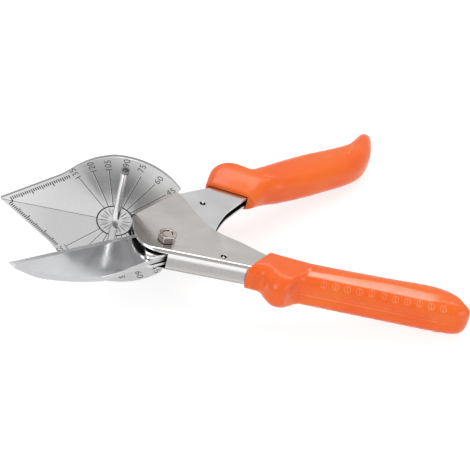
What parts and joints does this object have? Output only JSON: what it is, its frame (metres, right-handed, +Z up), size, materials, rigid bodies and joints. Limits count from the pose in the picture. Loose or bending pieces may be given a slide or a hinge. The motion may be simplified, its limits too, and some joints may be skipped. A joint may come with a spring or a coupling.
{
  "type": "mitre shears",
  "caption": "Hand-held mitre shears: a pivoting knife blade closes on a round anvil plate engraved with mitre angles, between two sprung handles with moulded grips.",
  "frame": {"origin": "on the ground, under the middle of the tool's box as it lies at rest on the plate's rim and both grips", "axes": "+X back along the closed handle, +Z up, +Y from the cutting face of the anvil plate towards its back"},
  "size_m": [0.201, 0.1444, 0.0656],
  "materials": {
    "sheet_steel": "polished sheet, plated",
    "plate_steel": "fine brushed, engraved black",
    "blade_steel": "mirror polished",
    "nickel": "bright nickel",
    "spring_steel": "drawn wire",
    "orange_plastic": "satin dipped vinyl look"
  },
  "bodies": {
    "anvil_handle": {"anvil_body": "sheet_steel", "plate_bracket": "sheet_steel", "bracket_rivet_front": "nickel", "bracket_rivet_rear": "nickel", "anvil_plate": "plate_steel", "fence_rib_upper": "plate_steel", "fence_rib_lower": "plate_steel", "pivot_bolt": "nickel", "pivot_nut": "nickel", "pivot_bush": "sheet_steel", "pivot_washer_upper": "sheet_steel", "pivot_washer_lower": "sheet_steel", "return_spring": "spring_steel", "anvil_grip": "orange_plastic"},
    "blade_handle": {"blade_body": "sheet_steel", "blade": "blade_steel", "blade_rivet_front": "nickel", "blade_rivet_rear": "nickel", "blade_grip": "orange_plastic"}
  },
  "joints": [
    {"name": "blade_pivot", "type": "hinge", "parent": "anvil_handle", "child": "blade_handle", "pos_m": [-0.02985, -0.03839, 0.02973], "axis": [0.1756, 0.0642, 0.9824], "range_deg": [-35.5, 0], "stiffness_Nm_per_rad": 0.4, "springref_deg": 20.05, "deforming": ["return_spring"]}
  ]
}
